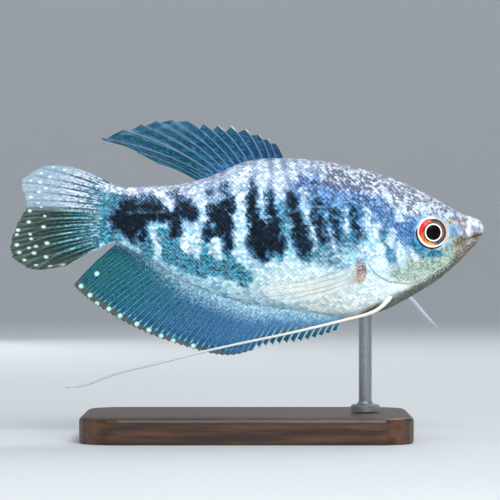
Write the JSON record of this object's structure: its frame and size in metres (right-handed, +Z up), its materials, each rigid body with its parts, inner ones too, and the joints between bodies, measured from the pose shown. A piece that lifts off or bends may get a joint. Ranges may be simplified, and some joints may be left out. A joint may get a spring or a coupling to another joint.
{
  "type": "marble gourami model on a display stand",
  "caption": "Still life-size model of a marble gourami: deep flat body, long ribbed fins, thread-like pelvic fins, held level by a rod on a flat wooden base.",
  "frame": {"origin": "middle of the flat underside of the stand's base, on the surface it stands on", "axes": "+X towards the fish's snout, +Y towards its left side, +Z up towards its back"},
  "size_m": [0.1106, 0.052, 0.074],
  "materials": {
    "head": "satin, pearly blue and lilac",
    "lower_jaw": "satin, brown to grey",
    "gill_cover": "satin, pearly white and blue",
    "eye": "polished, with a painted iris",
    "trunk": "satin, scaled, silver blue with dark marbling",
    "tail": "satin, scaled, navy and teal",
    "dorsal_fin": "satin, petrol blue",
    "anal_fin": "satin, slate blue to teal",
    "caudal_fin": "satin, grey and cyan, spotted",
    "pectoral_fin": "satin, clear white",
    "pelvic_fin": "satin, ivory to pale blue",
    "stand_base": "satin, dark",
    "stand_rod": "brushed"
  },
  "bodies": {
    "root": {"head": "head", "lower_jaw": "lower_jaw", "gill_cover_left": "gill_cover", "gill_cover_right": "gill_cover", "eye_left": "eye", "eye_right": "eye", "trunk": "trunk", "tail": "tail", "dorsal_fin": "dorsal_fin", "anal_fin": "anal_fin", "caudal_fin": "caudal_fin", "pectoral_fin_left": "pectoral_fin", "pectoral_fin_right": "pectoral_fin", "pelvic_fin_left": "pelvic_fin", "pelvic_fin_right": "pelvic_fin", "stand_base": "stand_base", "stand_rod": "stand_rod"}
  },
  "joints": []
}
